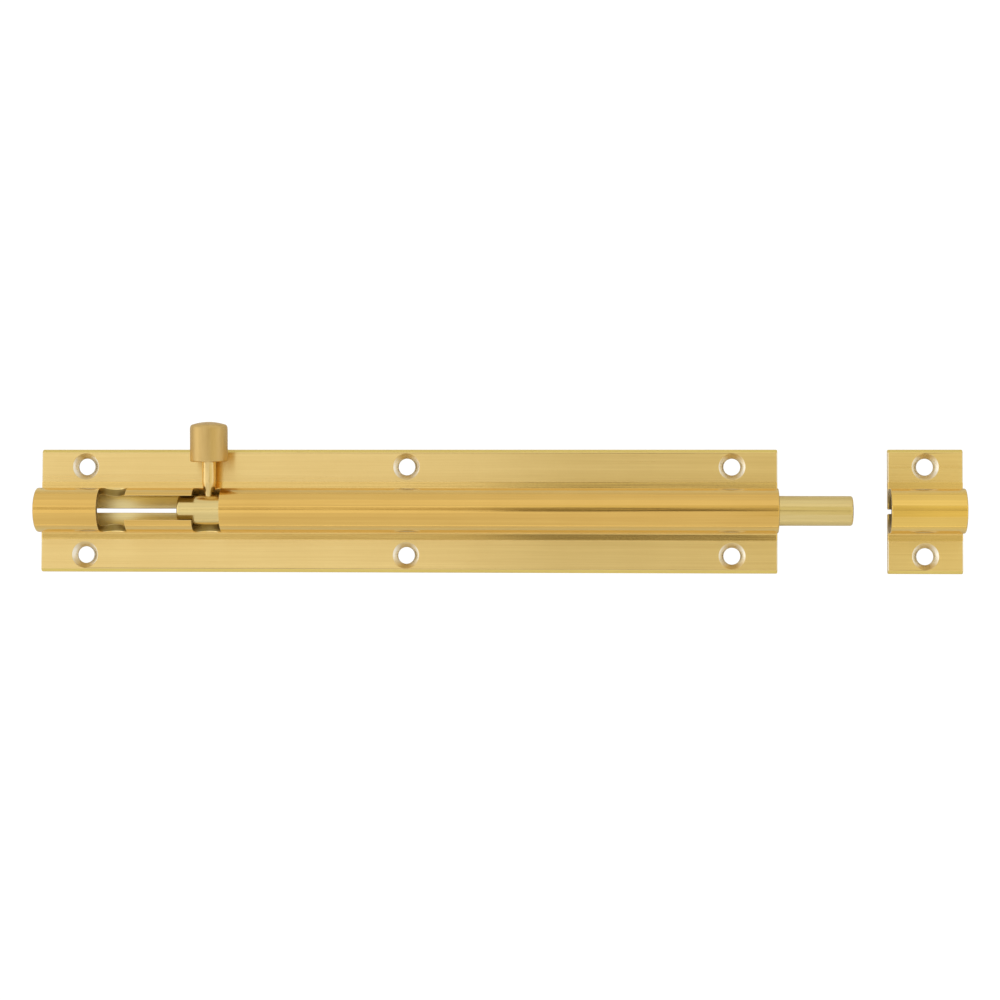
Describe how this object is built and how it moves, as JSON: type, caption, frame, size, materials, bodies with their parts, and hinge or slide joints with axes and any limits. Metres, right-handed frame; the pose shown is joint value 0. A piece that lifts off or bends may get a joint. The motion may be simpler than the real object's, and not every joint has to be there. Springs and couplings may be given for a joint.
{
  "type": "barrel bolt",
  "caption": "Straight barrel bolt: a flat plate with a raised tubular barrel, a round sliding bolt with a side knob that locks in cross notches, and a separate matching keep.",
  "frame": {"origin": "on the mounting plane, midway along the barrel and straight behind the axis of the bolt", "axes": "+X along the bolt from its tail to its nose and the keep, +Y across the plate to the side the knob lies on at rest, +Z out of the mounting plane"},
  "size_m": [0.187, 0.0303, 0.0099],
  "materials": {
    "brass_extrusion": "drawn and polished, with fine lines along its length",
    "brass_rod": "drawn bar, pale and semi-bright",
    "brass_knob": "turned, satin",
    "spring_steel": "bare spring steel"
  },
  "bodies": {
    "barrel": {"barrel_body": "brass_extrusion"},
    "slider": {"friction_ring": "spring_steel"},
    "bolt": {"bolt_rod": "brass_rod", "knob": "brass_knob"},
    "keep": {"keep": "brass_extrusion"}
  },
  "joints": [
    {"name": "bolt_slide", "type": "slide", "parent": "barrel", "child": "slider", "axis": [1, 0, 0], "range_m": [-0.0194, 0]},
    {"name": "bolt_turn", "type": "hinge", "parent": "slider", "child": "bolt", "pos_m": [0, 0, 0.0048], "axis": [1, 0, 0], "range_deg": [0, 171]},
    {"name": "keep_slide", "type": "slide", "parent": "barrel", "child": "keep", "axis": [1, 0, 0], "range_m": [-0.0195, 0]}
  ]
}
